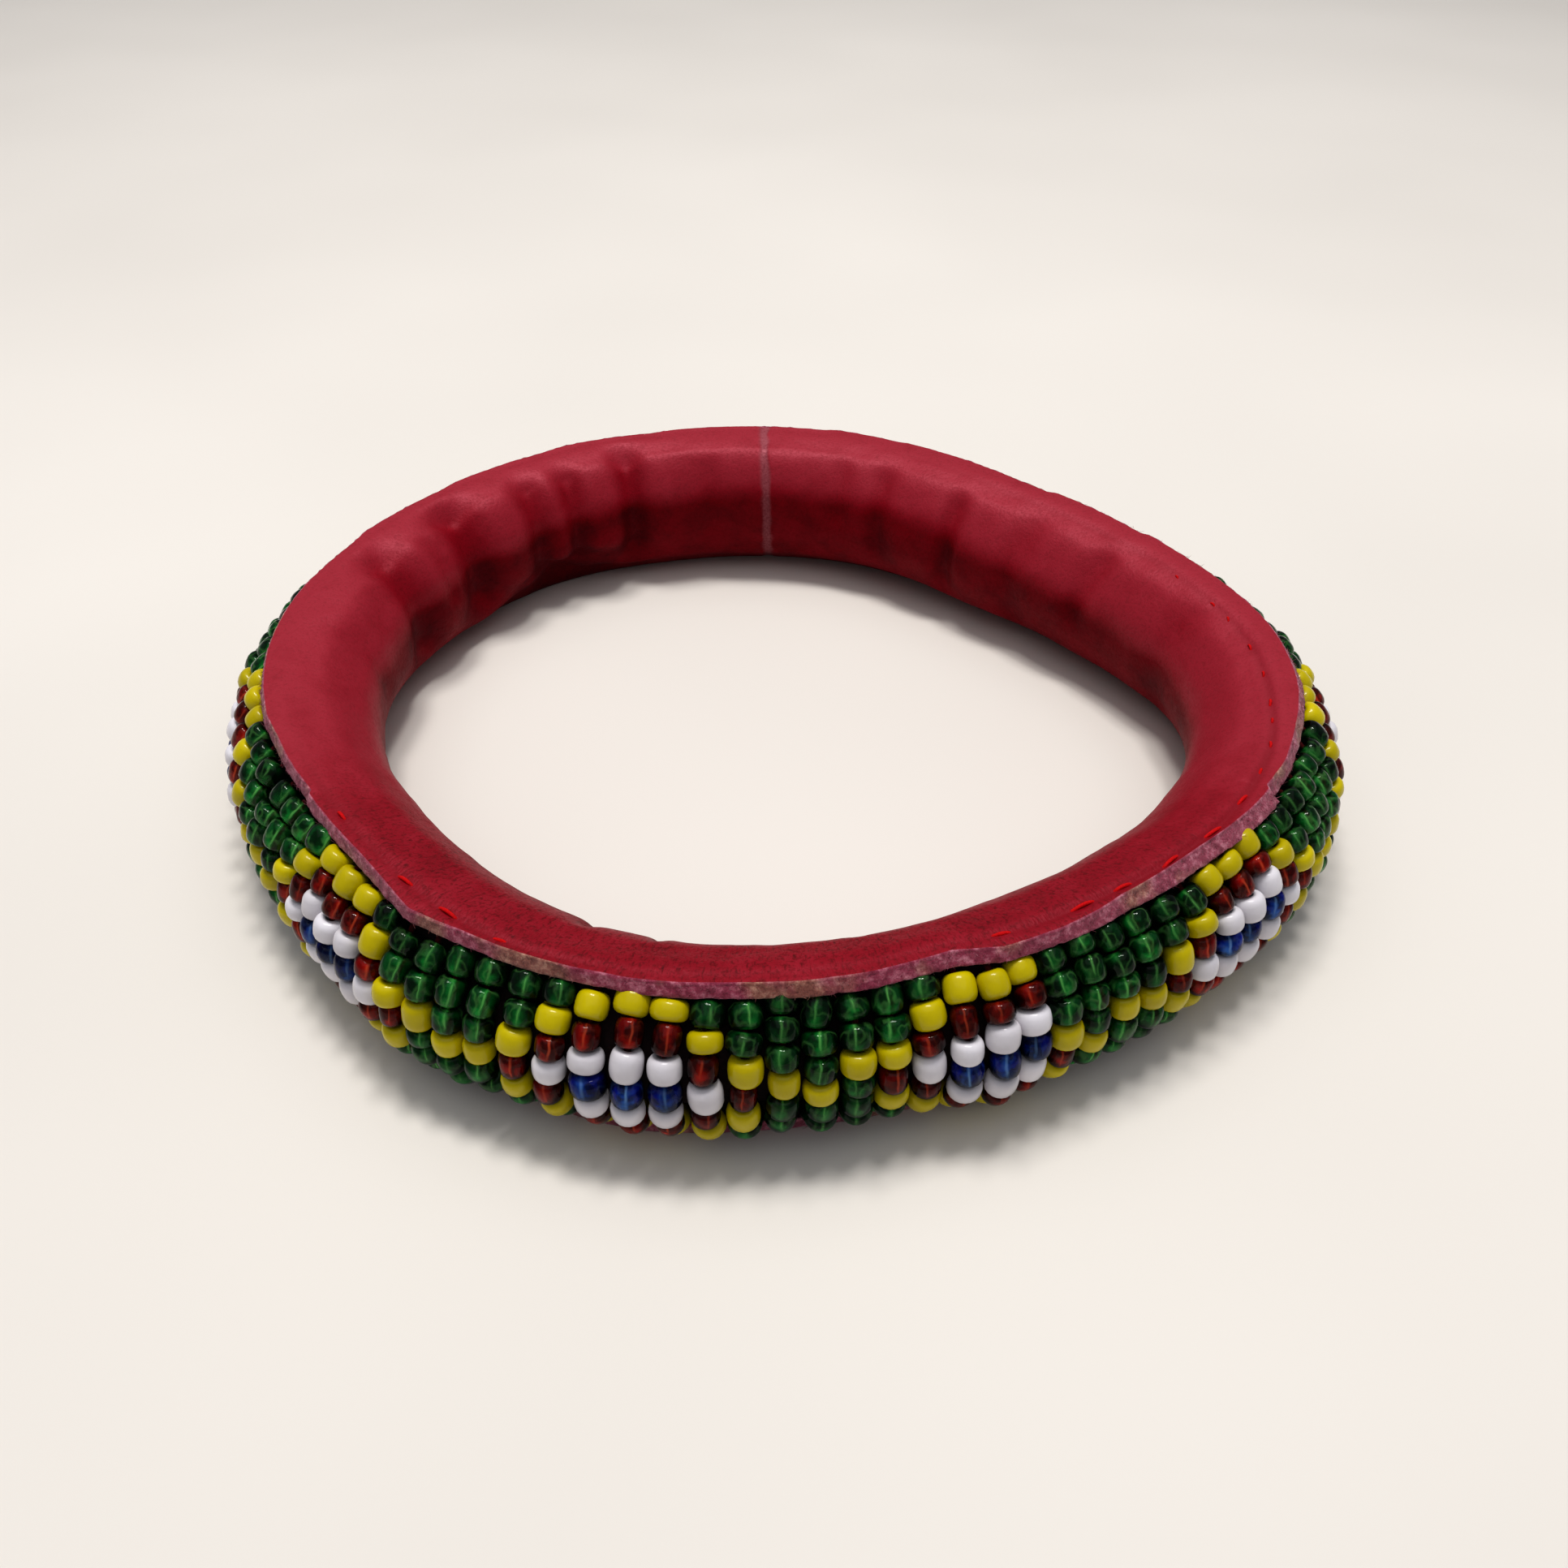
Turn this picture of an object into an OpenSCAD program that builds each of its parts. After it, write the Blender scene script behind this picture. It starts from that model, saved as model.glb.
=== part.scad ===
// Padded leather bangle with a band of seed beads round its outer face.
// It lies on its side: +Z is up, z = 0 is the surface, and the wrist goes through along Z.
// Sections are drawn as [out, up]: out from the centre line of the tube, and up from it.

/* [Padded tube] */
// Height of the padded inner side above the centre line
pad_top = 6.2; // [5.8:0.1:6.4]
// Depth of the padded inner side below the centre line
pad_bottom = 6.5; // [6:0.1:6.7]
// Radius of the leather that the beads lie on
bed_r = 4.7; // [4.3:0.1:4.8]

/* [Lips] */
// Thickness of the leather at its raw edges
leather_t = 1.1; // [0.9:0.1:1.3]
// Height of the upper lip's inner face above the centre line, and depth of the lower one's below it
lip_face = 6.65; // [6.6:0.05:6.9]
// Reach of the lower lip out from the centre line
low_lip_reach = 2.9; // [2.4:0.1:3]
// Distance from the lip's edge to the line of stitches
stitch_inset = 1.5; // [1.3:0.1:1.8]
// Depth of the groove that the stitches pull into the leather
stitch_groove = 0.15; // [0.05:0.05:0.25]

/* [Bead band] */
// Reach of the beads out from the centre line
bead_reach = 7.4; // [7.3:0.1:7.6]
// Gap between the bead band and the leather behind it
bed_gap = 0.15; // [0.1:0.05:0.2]
// Beads in one upright column
rows = 7; // [5:1:8]
// Angle from the middle row to the outermost row
row_fan = 60; // [50:1:60]
// Depth of the groove between two columns
column_groove = 0.7; // [0.3:0.1:1]
// Depth of the groove between two rows
row_groove = 0.3; // [0.1:0.1:0.5]

/* [Hidden] */

// Height of the tube's centre line above the surface, which the lower lip lies flat on
centre_h = lip_face + leather_t;
// Sideways place of the point that the plan's angles and radii are taken from
plan_x = -0.8;

// Plan of the ring, a row for each section, anticlockwise from the right as seen from above:
// angle, inner radius, outer radius over the beads, reach of the upper lip from the centre line,
// slant of the lip's cut edge
PLAN = [
    [  0, 38.0, 50.5, 3.2, 0.7],
    [ 15, 35.5, 48.0, 3.0, 0.5],
    [ 30, 32.5, 45.5, 3.0, 0.4],
    [ 45, 31.0, 44.0, 3.0, 0.4],
    [ 60, 31.5, 44.5, 3.0, 0.4],
    [ 75, 33.0, 45.5, 3.0, 0.4],
    [ 90, 34.0, 46.0, 3.0, 0.4],
    [105, 35.0, 46.5, 3.0, 0.4],
    [120, 35.5, 47.5, 3.0, 0.4],
    [135, 36.0, 48.0, 3.0, 0.4],
    [150, 36.0, 48.5, 3.0, 0.4],
    [165, 36.0, 49.0, 3.0, 0.3],
    [180, 35.5, 49.0, 3.0, 0.3],
    [195, 34.5, 48.0, 2.8, 0.3],
    [210, 33.0, 46.5, 2.8, 0.3],
    [225, 32.5, 46.0, 3.1, 0.3],
    [240, 32.5, 47.0, 3.2, 0.2],
    [255, 33.0, 47.5, 2.3, 0.3],
    [270, 33.0, 46.5, 2.8, 0.5],
    [285, 33.0, 46.0, 2.8, 0.5],
    [300, 33.0, 46.5, 3.4, 0.5],
    [315, 34.0, 48.0, 2.9, 0.9],
    [330, 36.0, 50.0, 3.0, 0.9],
    [345, 38.0, 51.0, 3.0, 0.7]
];
INNER = 1;
OUTER = 2;
LIP = 3;
SLANT = 4;
plan_step = 360 / len(PLAN);

// Pleats pressed into the inner wall: angle, depth, half width in degrees
PLEATS = [
    [  7, 0.5, 4.0],
    [ 38, 0.3, 4.0],
    [ 56, 0.5, 4.0],
    [113, 0.9, 3.0],
    [125, 0.9, 3.0],
    [135, 0.7, 2.5],
    [143, 0.9, 3.0],
    [161, 0.9, 3.5],
    [248, 0.5, 3.0],
    [278, 0.3, 3.0]
];
// Places round the tube between which the pleats grow and then fade
pleat_start = 90;
pleat_full = 125;
pleat_fade = 190;
pleat_end = 240;

// Spacing of the bead columns, which the maker's hand left uneven: column, angle
COLUMN_MARKS = [
    [  0, 187.5],
    [ 10, 221.0],
    [ 20, 257.0],
    [ 30, 291.5],
    [ 39, 322.0],
    [ 49, 350.5],
    [109, 547.5]
];
columns = COLUMN_MARKS[len(COLUMN_MARKS) - 1][0];

// Places round the tube between which the padded side is round, and how far from the centre
// line it turns into the lips
pad_from = 100;
pad_to = 255;
shoulder = 0.5;
// Rise from the padding to the upper lip, and drop from it to the heel of the lower lip
shoulder_rise = 0.9;
heel_drop = 0.7;
// Worn corner of the upper lip, and the place where the lips leave the bed
lip_nip = 0.2;
lip_root = 1.5;
lip_root_lift = 0.2;
// Half angle of the bed, and the ends of the bead band, which are round and lie under the lips
bed_fan = 70;
band_end_r = 6.2;
band_end_fan = row_fan + 7;
band_back_fan = row_fan + 2;
// How finely the sections are divided: degrees round the ring, steps round each part of the tube
station_step = 3;
pad_points = 11;
bed_points = 6;
back_steps = 4;

// A value of the plan table at any angle, on a smooth curve through its rows
function plan_at(i, column) = PLAN[(i + len(PLAN)) % len(PLAN)][column];
function curve(p, q, r, s, t) =
    q + t * ((r - p) / 2 + t * ((2 * p - 5 * q + 4 * r - s) / 2 + t * (3 * q - p - 3 * r + s) / 2));
function plan(angle, column) =
    let (
        place = (angle % 360) / plan_step,
        i = floor(place)
    )
    curve(
        plan_at(i - 1, column), plan_at(i, column), plan_at(i + 1, column), plan_at(i + 2, column),
        place - i
    );
function centre_r(angle) = plan(angle, OUTER) - bead_reach;

// Angle of a bead column, whole or halfway to the next
function column_angle(k) =
    let (
        m = [for (i = [0 : len(COLUMN_MARKS) - 2]) if (COLUMN_MARKS[i][0] <= k) i],
        a = COLUMN_MARKS[m[len(m) - 1]],
        b = COLUMN_MARKS[m[len(m) - 1] + 1]
    )
    a[1] + (b[1] - a[1]) * (k - a[0]) / (b[0] - a[0]);

// Angle between two directions
function turn(a, b) = abs((a - b + 540) % 360 - 180);
// Smooth step from 0 to 1
function ease(t) = let (c = max(0, min(1, t))) c * c * (3 - 2 * c);

// How deep the pleats press the leather in, at a place round the ring and round the tube
function pleat(angle, fan) =
    let (
        upper = ease((fan - pleat_start) / (pleat_full - pleat_start)),
        lower = ease((pleat_end - fan) / (pleat_end - pleat_fade)),
        dips = [for (p = PLEATS) p[1] * exp(-pow(turn(angle, p[0]) / p[2], 2))]
    )
    upper * lower * (dips * [for (p = PLEATS) 1]);

// Section of the leather cover: upper lip, padded inner side, lower lip, bed of the beads
function cover_section(angle) =
    let (
        pad_w = centre_r(angle) - plan(angle, INNER),
        lip = plan(angle, LIP),
        brow = lip - plan(angle, SLANT)
    )
    concat(
        [
            [lip, lip_face],
            [brow, centre_h - lip_nip],
            [brow - lip_nip, centre_h],
            [lip - stitch_inset, centre_h - stitch_groove],
            [shoulder, pad_top + shoulder_rise]
        ],
        [
            for (i = [0 : pad_points])
            let (
                fan = pad_from + (pad_to - pad_from) * i / pad_points,
                in = pleat(angle, fan),
                height = fan < 180 ? pad_top : pad_bottom
            )
            [(pad_w - in) * cos(fan), (height - in) * sin(fan)]
        ],
        [
            [-shoulder, pad_bottom * sin(pad_to) - heel_drop],
            [shoulder, -centre_h],
            [low_lip_reach, -centre_h],
            [low_lip_reach, -lip_face],
            [lip_root, lip_root_lift - lip_face]
        ],
        [
            for (i = [0 : bed_points])
            let (fan = bed_fan * (2 * i / bed_points - 1))
            bed_r * [cos(fan), sin(fan)]
        ],
        [[lip_root, lip_face - lip_root_lift]]
    );

// Section of the bead band: back on the bed, ends under the lips, a bump for each row
function band_section(groove) =
    let (back_r = (bed_r + bed_gap) / cos(band_back_fan / back_steps))
    concat(
        [
            for (i = [0 : back_steps])
            let (fan = band_back_fan * (1 - 2 * i / back_steps))
            back_r * [cos(fan), sin(fan)]
        ],
        [band_end_r * [cos(band_end_fan), -sin(band_end_fan)]],
        [
            for (i = [0 : 2 * rows - 2])
            let (
                fan = row_fan * (i / (rows - 1) - 1),
                r = bead_reach - groove - (i % 2) * row_groove
            )
            r * [cos(fan), sin(fan)]
        ],
        [band_end_r * [cos(band_end_fan), sin(band_end_fan)]]
    );

// The points of a section where it stands in the ring
function placed(section, angle) =
    [
        for (p = section)
        let (r = centre_r(angle) + p[0])
        [plan_x + r * cos(angle), r * sin(angle), centre_h + p[1]]
    ];

// A closed ring through one section for each angle
module ring(angles, sections) {
    n = len(sections[0]);
    m = len(angles);
    polyhedron(
        points = [for (j = [0 : m - 1]) each placed(sections[j], angles[j])],
        faces = [
            for (j = [0 : m - 1], i = [0 : n - 1])
            let (
                a = j * n + i,
                b = j * n + (i + 1) % n,
                c = ((j + 1) % m) * n + i,
                d = ((j + 1) % m) * n + (i + 1) % n
            )
            each [[a, b, d], [a, d, c]]
        ],
        convexity = 6
    );
}

module leather_cover() {
    stations = [for (a = [0 : station_step : 359]) a];
    color([0.55, 0.10, 0.16])
        ring(stations, [for (a = stations) cover_section(a)]);
}

// Whole steps are the ridges of the columns, and half steps the grooves between them
module bead_band() {
    steps = [for (k = [0 : 2 * columns - 1]) k];
    color([0.10, 0.35, 0.18])
        ring(
            [for (k = steps) column_angle(k / 2)],
            [for (k = steps) band_section((k % 2) * column_groove)]
        );
}

leather_cover();
bead_band();
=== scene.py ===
"""A padded leather bangle with a band of glass seed beads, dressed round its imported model.

Shapes are worked out in millimetres and made in metres. A section of the tube is drawn as
(out, up): out from the centre line of the tube, and up from it. A place round the tube is its fan:
0 degrees is outermost, 90 is the top and 180 is the inner side.
"""

import math
import random

import bpy
import numpy as np
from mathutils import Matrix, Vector, noise


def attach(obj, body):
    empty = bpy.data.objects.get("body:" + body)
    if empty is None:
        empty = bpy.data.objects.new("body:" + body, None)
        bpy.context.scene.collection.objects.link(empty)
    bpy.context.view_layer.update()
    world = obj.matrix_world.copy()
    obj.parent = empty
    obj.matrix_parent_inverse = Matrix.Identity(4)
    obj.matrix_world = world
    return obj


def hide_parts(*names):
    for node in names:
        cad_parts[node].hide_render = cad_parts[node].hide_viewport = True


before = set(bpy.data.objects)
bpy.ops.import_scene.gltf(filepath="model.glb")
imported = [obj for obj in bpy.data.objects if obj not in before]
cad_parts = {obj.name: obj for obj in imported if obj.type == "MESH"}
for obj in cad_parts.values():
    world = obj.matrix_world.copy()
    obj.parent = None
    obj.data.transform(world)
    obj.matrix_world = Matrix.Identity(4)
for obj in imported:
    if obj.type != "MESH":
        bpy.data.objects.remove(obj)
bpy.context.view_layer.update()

MM = 0.001

# The ring, with the values of its source
PLAN_X = -0.8
LIP_FACE = 6.65
CENTRE_H = 7.75
PAD_BOTTOM = 6.5
BEAD_REACH = 7.4
LOW_LIP_REACH = 2.9

# Plan of the ring: angle, inner radius, outer radius over the beads
PLAN = [
    (0, 38.0, 50.5), (15, 35.5, 48.0), (30, 32.5, 45.5), (45, 31.0, 44.0), (60, 31.5, 44.5),
    (75, 33.0, 45.5), (90, 34.0, 46.0), (105, 35.0, 46.5), (120, 35.5, 47.5), (135, 36.0, 48.0),
    (150, 36.0, 48.5), (165, 36.0, 49.0), (180, 35.5, 49.0), (195, 34.5, 48.0), (210, 33.0, 46.5),
    (225, 32.5, 46.0), (240, 32.5, 47.0), (255, 33.0, 47.5), (270, 33.0, 46.5), (285, 33.0, 46.0),
    (300, 33.0, 46.5), (315, 34.0, 48.0), (330, 36.0, 50.0), (345, 38.0, 51.0),
]
INNER = 1
OUTER = 2
PLAN_STEP = 15

# Folds of the inner wall: angle, depth, half width in degrees, and the fans where it starts and ends
FOLDS = [
    (7, 0.5, 3.0, 95, 240), (24, 0.6, 2.2, 100, 200), (38, 0.5, 3.0, 95, 240),
    (53, 0.9, 2.0, 105, 230), (68, 0.7, 2.2, 104, 215), (76, 0.4, 1.6, 108, 190),
    (100, 0.4, 2.2, 112, 220), (113.5, 1.6, 2.3, 88, 240), (121, 0.9, 6.0, 190, 290),
    (124, 1.2, 2.2, 94, 228), (127.5, 1.9, 4.0, 195, 290), (131, 1.3, 2.4, 92, 228),
    (135, 0.6, 4.0, 195, 290), (144, 2.0, 3.6, 84, 230), (151, 0.4, 1.6, 98, 190),
    (159, 1.6, 3.6, 86, 228), (176, 0.3, 2.4, 100, 210), (248, 0.45, 1.3, 112, 200),
    (257, 0.4, 0.9, 112, 170), (280, 0.5, 0.9, 112, 180),
]
FOLD_RISE = 22
FOLD_FADE = 30

# How the top turns into the padding: angle, end of the flat lip, roundness, drop of its edge,
# lift of the padding's shoulder, squareness of the shoulder
SHOULDER = [
    (0, 1.4, 3.4, 0.0, 0.85, 2.0), (40, 1.4, 3.4, 0.0, 0.9, 2.2), (62, 1.4, 3.2, 0.0, 1.0, 2.7),
    (84, 1.8, 3.2, -0.1, 1.1, 2.9), (150, 1.8, 3.2, -0.1, 1.1, 2.7), (175, 1.8, 3.2, 0.0, 1.1, 2.4),
    (192, 1.6, 3.4, 0.0, 0.9, 2.1), (207, 1.4, 3.4, 0.0, 0.85, 2.0),
]
PAD_TOP = 6.2
LIFT_END = 142

# Cut edge of the upper lip, which the knife left uneven: angle, reach, slant
LIP_EDGE = [
    (0, 3.2, 0.6), (20, 3.0, 0.5), (23.8, 3.2, 0.5), (24.8, 2.8, 0.5), (32, 3.0, 0.4),
    (40.2, 3.2, 0.4), (41.2, 2.8, 0.4), (50, 3.0, 0.4), (66, 3.1, 0.4), (69, 2.8, 0.4),
    (79, 3.1, 0.4), (81, 2.8, 0.4), (90, 3.0, 0.4), (104, 3.1, 0.4), (107, 2.8, 0.4),
    (121, 3.1, 0.4), (125, 2.8, 0.4), (138, 3.1, 0.4), (142, 2.8, 0.4), (155, 3.1, 0.4),
    (159, 2.8, 0.4), (170, 3.0, 0.3), (195, 2.9, 0.3), (199, 2.6, 0.3), (206, 2.7, 0.3),
    (210.4, 2.6, 0.3), (210.9, 2.9, 0.3), (217, 3.0, 0.3), (223, 3.1, 0.3), (228, 3.4, 0.3),
    (233, 3.7, 0.2), (235, 3.4, 0.2), (239, 2.9, 0.3), (244, 2.6, 0.3), (248, 2.3, 0.3),
    (254, 2.1, 0.3), (266, 2.5, 0.4), (273, 2.9, 0.5), (280, 2.9, 0.5), (288, 2.5, 0.5),
    (293, 3.3, 0.4), (299, 3.3, 0.4), (304, 3.2, 0.6), (307, 2.9, 0.7), (314, 2.8, 0.9),
    (319, 2.7, 0.9), (328, 3.0, 0.9), (330.8, 3.1, 0.9), (331.3, 2.5, 0.6), (336, 2.7, 0.5),
    (341, 2.7, 0.5), (349, 3.2, 0.6),
]

# Reach of the line of stitches in the upper lip: angle, reach
STITCH_LINE = [
    (0, -0.3), (25, -0.4), (45, -0.2), (90, 0.5), (180, 0.6), (200, 0.9), (216, 1.6), (230, 1.9),
    (243, 1.7), (254, 1.1), (266, 1.4), (280, 1.6), (288, 1.4), (297, 1.7), (308, 1.4), (321, 1.35),
    (328, 0.9), (338, 0.6), (346, 0.1),
]
LOW_STITCH_REACH = 1.4

# How strongly the stitches draw the upper lip in: angle, share
STITCH_PULL = [
    (0, 0.4), (40, 0.25), (62, 0.1), (80, 0.0), (198, 0.0), (212, 0.5), (245, 0.6), (256, 0.2),
    (292, 0.2), (300, 0.9), (335, 0.9), (345, 0.6),
]

# Stitches that show on top: angle, length, rise over the leather
STITCHES = [
    (3.5, 0.8, 0.06), (6.9, 0.9, 0.08), (14.0, 0.7, 0.08), (216.2, 1.4, 0.1), (229.7, 1.8, 0.14),
    (236.5, 2.0, 0.16), (243.2, 1.4, -0.02), (293.5, 1.8, 0.02), (303.0, 2.4, 0.14),
    (308.2, 1.9, 0.1), (314.8, 2.2, 0.14), (321.5, 2.2, 0.12), (328.0, 1.8, 0.08),
    (333.5, 1.1, 0.02), (338.5, 1.0, 0.08), (343.0, 0.8, 0.05), (346.4, 1.1, 0.1),
    (352.0, 0.8, 0.06), (357.5, 0.9, 0.04),
]

# Spacing of the bead columns, which the maker's hand left uneven: column, angle
COLUMN_MARKS = [
    (0, 187.5), (8, 216.2), (10, 222.3), (13, 232.9), (16, 242.8), (20, 257.3), (25, 274.5),
    (30, 291.4), (32, 298.0), (38, 318.2), (41, 328.0), (49, 350.5), (109, 547.5),
]
COLUMNS = COLUMN_MARKS[-1][0]

# How far some columns slipped down their thread, in millimetres
SLIPPED = {
    8: -0.5, 9: -0.3, 12: -0.3, 13: 0.5, 14: 0.5, 18: -0.2,
    20: -0.4, 24: -0.4, 26: 0.6, 37: 0.5, 40: -0.6,
}

# How far the band stands out of its even line: angle, out
BULGE = [
    (0, 0.6), (90, 0.5), (180, 0.5), (212, 0.6), (218, 0.8), (226, 1.0), (233, 1.0), (240, 0.1),
    (246, -0.3), (256, -0.5), (264, -0.2), (272, -0.3), (281, -0.5), (285, -0.4), (288, 0.3),
    (291.5, 0.9), (295, 0.4), (300, 0.2), (322, 0.1), (334, 0.5), (345, 0.9),
]

# Diamonds of the bead pattern: their middle columns, the column after which one was left out,
# and the columns that don't keep to the chart
DIAMONDS = (0, 10, 20, 30, 39, 49, 59, 69, 79, 89, 99, 109)
LEFT_OUT_AFTER = 31
MISCOUNTED = {14: "GGYGGGG", 26: "GGYGGGG", 32: "GGGYRYG", 33: "GGGGYGG"}

# Colours of a column from the top bead to the bottom one, by its distance from a diamond's middle
CHART = ("YRWBWRY", "YRWBWRY", "GYRWRYG", "GGYRYGG", "GGGYGGG", "GGGYGGG")
ROWS = 7

# Line of a column's thread in the tube's section, from the top to the bottom, how finely it is
# divided, and the step that its way is taken over
THREAD_LINE = [
    (2.1, 5.98), (2.75, 5.35), (4.15, 4.0), (5.15, 2.15), (5.6, 0.05), (5.6, -2.05), (4.9, -3.95),
    (3.4, -5.3), (2.7, -5.92),
]
THREAD_STEPS = 160
THREAD_NUDGE = 0.1

# Where the leather's two ends meet
SEAM_ANGLE = 89.8


def srgb(*values):
    """A colour given as eye values of 0 to 255, as Blender's linear one."""
    shares = [value / 255 for value in values]
    return (*(s / 12.92 if s <= 0.04045 else ((s + 0.055) / 1.055) ** 2.4 for s in shares), 1.0)


# The ring's shape


def ease(share):
    """Smooth step from 0 to 1."""
    kept = np.clip(share, 0, 1)
    return kept * kept * (3 - 2 * kept)


def smooth_curve(p, q, r, s, t):
    """A point between q and r on a smooth curve through four points."""
    return q + t * ((r - p) / 2 + t * ((2 * p - 5 * q + 4 * r - s) / 2 + t * (3 * q - p - 3 * r + s) / 2))


def plan(angles, column):
    """A value of the plan at some angles, on a smooth curve through its rows."""
    values = np.array([row[column] for row in PLAN])
    place = (angles % 360) / PLAN_STEP
    i = np.floor(place).astype(int)
    return smooth_curve(*(values[(i + k) % len(values)] for k in (-1, 0, 1, 2)), place - i)


def centre_r(angles):
    """Plan radius of the tube's centre line."""
    return plan(angles, OUTER) - BEAD_REACH


def table_at(table, angles, column):
    """A value of a table round the ring, straight between its rows."""
    rows = np.array(table)
    return np.interp(angles % 360, rows[:, 0], rows[:, column], period=360)


def column_r(angles):
    """Plan radius that a column's thread line is drawn from."""
    return centre_r(angles) + table_at(BULGE, angles, 1)


def turn(a, b):
    """Angle between two directions."""
    return np.abs((a - b + 540) % 360 - 180)


def zone(turned, start, rise, end, fall):
    """1 in a part of the ring, fading to 0 at its ends."""
    return ease((turned - start) / rise) * ease((end - turned) / fall)


def fold(angles, fan):
    """How deep the folds press the leather in."""
    return sum(
        depth * np.exp(-((turn(angles, at) / width) ** 2))
        * ease((fan - start) / FOLD_RISE) * ease((end - fan) / FOLD_FADE)
        for at, depth, width, start, end in FOLDS
    )


def thread_curve():
    """The column's thread line, finely divided: lengths along it from the top, outs and ups."""
    knots = np.array(THREAD_LINE)
    steps = np.linspace(0, len(knots) - 1, THREAD_STEPS + 1)
    i = np.minimum(steps.astype(int), len(knots) - 2)
    before = 2 * knots[:1] - knots[1:2]
    after = 2 * knots[-1:] - knots[-2:-1]
    padded = np.concatenate([before, knots, after])
    points = smooth_curve(*(padded[i + k] for k in range(4)), (steps - i)[:, None])
    lengths = np.concatenate([[0], np.cumsum(np.linalg.norm(np.diff(points, axis=0), axis=1))])
    return lengths, points[:, 0], points[:, 1]


THREAD_CURVE = thread_curve()
THREAD_LENGTH = THREAD_CURVE[0][-1]


def thread_at(lengths):
    """Places on the thread line and the ways down it: outs, ups and (out, up) ways."""

    def place(at):
        return np.stack([np.interp(at, THREAD_CURVE[0], values) for values in THREAD_CURVE[1:]], -1)

    out, up = place(lengths).T
    return out, up, unit(place(lengths + THREAD_NUDGE) - place(lengths - THREAD_NUDGE))


def unit(vectors):
    """Vectors made 1 long."""
    return vectors / np.linalg.norm(vectors, axis=-1, keepdims=True)


def placed(angles, out, up):
    """Points of the ring in millimetres, from places in the tube's section."""
    r = centre_r(angles) + out
    a = np.radians(angles)
    return np.stack([PLAN_X + r * np.cos(a), r * np.sin(a), CENTRE_H + up + 0 * r], -1)


def noise_at(points, scale, seed):
    """Smooth noise of -1 to 1 at some points, with features of that size in millimetres."""
    flat = points.reshape(-1, 3) / scale + seed
    return np.array([noise.noise(p) for p in flat.tolist()]).reshape(points.shape[:-1])


def layers(points, table):
    """Layers of noise at some points: height, size of the features and seed of each."""
    return sum(height * noise_at(points, scale, seed) for height, scale, seed in table)


# Meshes

# A way that no thread, stitch or fibre runs along
ASIDE_FROM = [0.31, 0.17, 0.93]


def added(name, data):
    """A new object in the scene."""
    made = bpy.data.objects.new(name, data)
    bpy.context.scene.collection.objects.link(made)
    return made


def mesh_piece(name, points, faces, materials):
    """A smooth mesh from points in millimetres, riding on the model."""
    mesh = bpy.data.meshes.new(name)
    mesh.from_pydata((points * MM).tolist(), [], faces)
    for material in materials:
        mesh.materials.append(material)
    mesh.shade_smooth()
    piece = added(name, mesh)
    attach(piece, "root")
    return piece


def carry(piece, name, values, kind="FLOAT", key="value"):
    """Gives each point of a piece a value for its material."""
    data = piece.data.attributes.new(name, kind, "POINT").data
    data.foreach_set(key, np.ravel(values).astype(np.float32))


def tube_piece(name, paths, radii, sides, material):
    """Closed tubes along paths, as one piece; radii has a row for each path."""
    points, faces = [], []
    ring = np.linspace(0, 2 * math.pi, sides, endpoint=False)
    start = 0
    for path, radius in zip(paths, radii):
        along = unit(np.gradient(path, axis=0))
        aside = unit(np.cross(along, ASIDE_FROM))
        third = np.cross(along, aside)
        spread = np.cos(ring)[None, :, None] * aside[:, None] + np.sin(ring)[None, :, None] * third[:, None]
        points.append((path[:, None] + np.asarray(radius)[:, None, None] * spread).reshape(-1, 3))
        for j in range(len(path) - 1):
            for i in range(sides):
                a = start + j * sides + i
                b = start + j * sides + (i + 1) % sides
                faces.append((a, b, b + sides, a + sides))
        end = start + (len(path) - 1) * sides
        faces.append(tuple(reversed(range(start, start + sides))))
        faces.append(tuple(range(end, end + sides)))
        start = end + sides
    return mesh_piece(name, np.concatenate(points), faces, [material])


# Leather

# Lengths in the section, in millimetres
LIP_ROOT = 1.5
LIP_ROOT_LIFT = 0.2
CUT_ROUND = 0.12
BROW_ROUND = 0.16
BROW_STEADINESS = 0.6
FLANGE_BACK = 1.0
EDGE_SAG = 0.6
LOW_FLANGE_END = 1.0
HEEL_ROUNDNESS = 3.0
BED_DEPTH = 1.3

# Fans between which the padding is an oval, and the step that its way is taken over
PAD_FROM = 108
PAD_TO = 248
FAN_NUDGE = 2

# Unevenness of the leather: height, size of its features and seed of each layer of noise
KNIFE_WOBBLE = [(0.08, 1.6, 0), (0.05, 0.7, 5)]
LOW_WOBBLE = [(0.1, 2.2, 9)]
DENTS = [(0.22, 9.0, 0), (0.1, 4.0, 3), (0.04, 1.8, 7)]
SKIN_GRAIN = [(0.02, 1.2, 11)]
CUT_NAP = [(0.07, 0.6, 2)]
CUT_STREAKS = [(0.05, 0.35, 4)]
STREAK_SHAPE = [1, 1, 2.5]

# Where the noise of the two lips' edges is read, in the section
EDGE_OUT = 3
EDGE_UP = 7

# The dents fade out towards the lip
DENTS_TO = 1.6
DENTS_FADE = 2.5

# Grooves that the stitches pull, and the height below which the lower lip's flat underside lies
GROOVE_DEPTH = 0.22
GROOVE_WIDTH = 0.4
UNDERSIDE = -7

# The line where the two ends meet
SEAM_WIDTH = 0.8
SEAM_DEPTH = 0.12
SEAM_SHARPNESS = 3
SEAM_DRIFT = [(0.3, 3.0, 21)]
SEAM_LEAN = 0.03
SEAM_UNEVEN = [(0.6, 1.5, 23)]

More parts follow.
